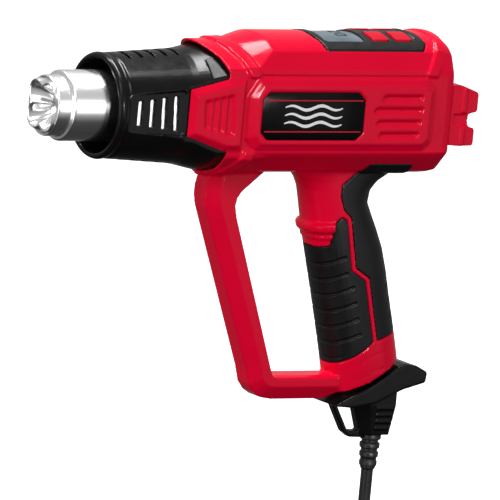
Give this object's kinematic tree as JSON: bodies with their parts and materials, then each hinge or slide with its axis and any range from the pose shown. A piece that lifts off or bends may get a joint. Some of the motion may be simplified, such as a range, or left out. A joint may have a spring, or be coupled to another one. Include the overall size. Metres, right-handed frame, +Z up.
{
  "type": "heat gun",
  "caption": "Corded hot-air gun with a closed guard handle, steel outlet, slotted heat sleeve, top display with keys, rear stand and a tied mains cord.",
  "frame": {"origin": "middle of the grip, where a hand or a holder takes the gun", "axes": "+X from the outlet to the rear along the barrel, -Y the gun's left side, +Z up"},
  "size_m": [0.2807, 0.0628, 0.4564],
  "materials": {
    "red_plastic": "satin-gloss crimson moulding",
    "black_plastic": "fine-textured black moulding",
    "black_label": "gloss black plate with two thin red lines",
    "grip_rubber": "soft-touch black rubber",
    "outlet_steel": "polished stainless steel",
    "mica": "mica sheet",
    "ceramic": "unglazed ceramic",
    "heater_wire": "resistance wire",
    "white_plastic": "natural nylon",
    "motor_can": "satin aluminium",
    "screw_steel": "zinc-plated steel",
    "panel_plastic": "dark grey satin moulding",
    "display_glass": "blue-grey display window",
    "circuit_board": "green solder mask",
    "button_plastic": "satin red keys",
    "cord_rubber": "black rubber-sheathed cord",
    "plug_plastic": "moulded black plug",
    "pin_brass": "nickel-plated pins"
  },
  "bodies": {
    "housing": {"housing_left": "red_plastic", "housing_right": "red_plastic", "rear_stand": "red_plastic", "heat_sleeve": "black_plastic", "end_cap": "black_plastic", "label_left": "black_label", "label_right": "black_label", "grip_front_left": "grip_rubber", "grip_front_right": "grip_rubber", "grip_back_left": "grip_rubber", "grip_back_right": "grip_rubber", "outlet_tube": "outlet_steel", "flow_mixer": "outlet_steel", "heat_shield": "outlet_steel", "temperature_sensor": "outlet_steel", "mica_tube": "mica", "ceramic_core": "ceramic", "heating_coil": "heater_wire", "air_duct": "black_plastic", "motor": "motor_can", "motor_mount": "black_plastic", "dust_filter": "black_plastic", "control_panel": "panel_plastic", "lcd_window": "display_glass", "lcd_module": "white_plastic", "display_board": "circuit_board", "power_board": "circuit_board", "heat_sink": "motor_can", "terminal_block": "white_plastic", "noise_capacitor": "button_plastic", "cord_clamp": "black_plastic", "power_switch": "black_plastic", "inner_cord": "cord_rubber", "cord_boot": "cord_rubber", "power_cord": "cord_rubber", "cord_coil": "cord_rubber", "cord_tail": "cord_rubber", "coil_tie": "black_plastic", "plug_body": "plug_plastic", "plug_pin_left": "pin_brass", "plug_pin_right": "pin_brass", "key_switch_front_left": "white_plastic", "key_switch_front_right": "white_plastic", "key_switch_rear_left": "white_plastic", "key_switch_rear_right": "white_plastic", "housing_screw_1": "screw_steel", "housing_screw_2": "screw_steel", "housing_screw_3": "screw_steel", "housing_screw_4": "screw_steel", "housing_screw_5": "screw_steel", "housing_screw_6": "screw_steel", "clamp_screw_1": "screw_steel", "clamp_screw_2": "screw_steel"},
    "rotor": {"fan_impeller": "white_plastic", "motor_shaft": "screw_steel"},
    "rocker": {"switch_rocker": "button_plastic"},
    "key_front_left": {"button_front_left": "button_plastic"},
    "key_front_right": {"button_front_right": "button_plastic"},
    "key_rear_left": {"button_rear_left": "button_plastic"},
    "key_rear_right": {"button_rear_right": "button_plastic"}
  },
  "joints": [
    {"name": "fan_spin", "type": "hinge", "parent": "housing", "child": "rotor", "pos_m": [-0.037, 0, 0.095], "axis": [1, 0, 0], "continuous": true},
    {"name": "power_rocker", "type": "hinge", "parent": "housing", "child": "rocker", "pos_m": [0.0085, 0, 0.0165], "axis": [0, 1, 0], "range_deg": [-10, 10]},
    {"name": "press_front_left", "type": "slide", "parent": "housing", "child": "key_front_left", "axis": [0, 0, -1], "range_m": [0, 0.0008], "stiffness_N_per_m": 400, "springref_m": -0.001},
    {"name": "press_front_right", "type": "slide", "parent": "housing", "child": "key_front_right", "axis": [0, 0, -1], "range_m": [0, 0.0008], "stiffness_N_per_m": 400, "springref_m": -0.001},
    {"name": "press_rear_left", "type": "slide", "parent": "housing", "child": "key_rear_left", "axis": [0, 0, -1], "range_m": [0, 0.0008], "stiffness_N_per_m": 400, "springref_m": -0.001},
    {"name": "press_rear_right", "type": "slide", "parent": "housing", "child": "key_rear_right", "axis": [0, 0, -1], "range_m": [0, 0.0008], "stiffness_N_per_m": 400, "springref_m": -0.001}
  ]
}
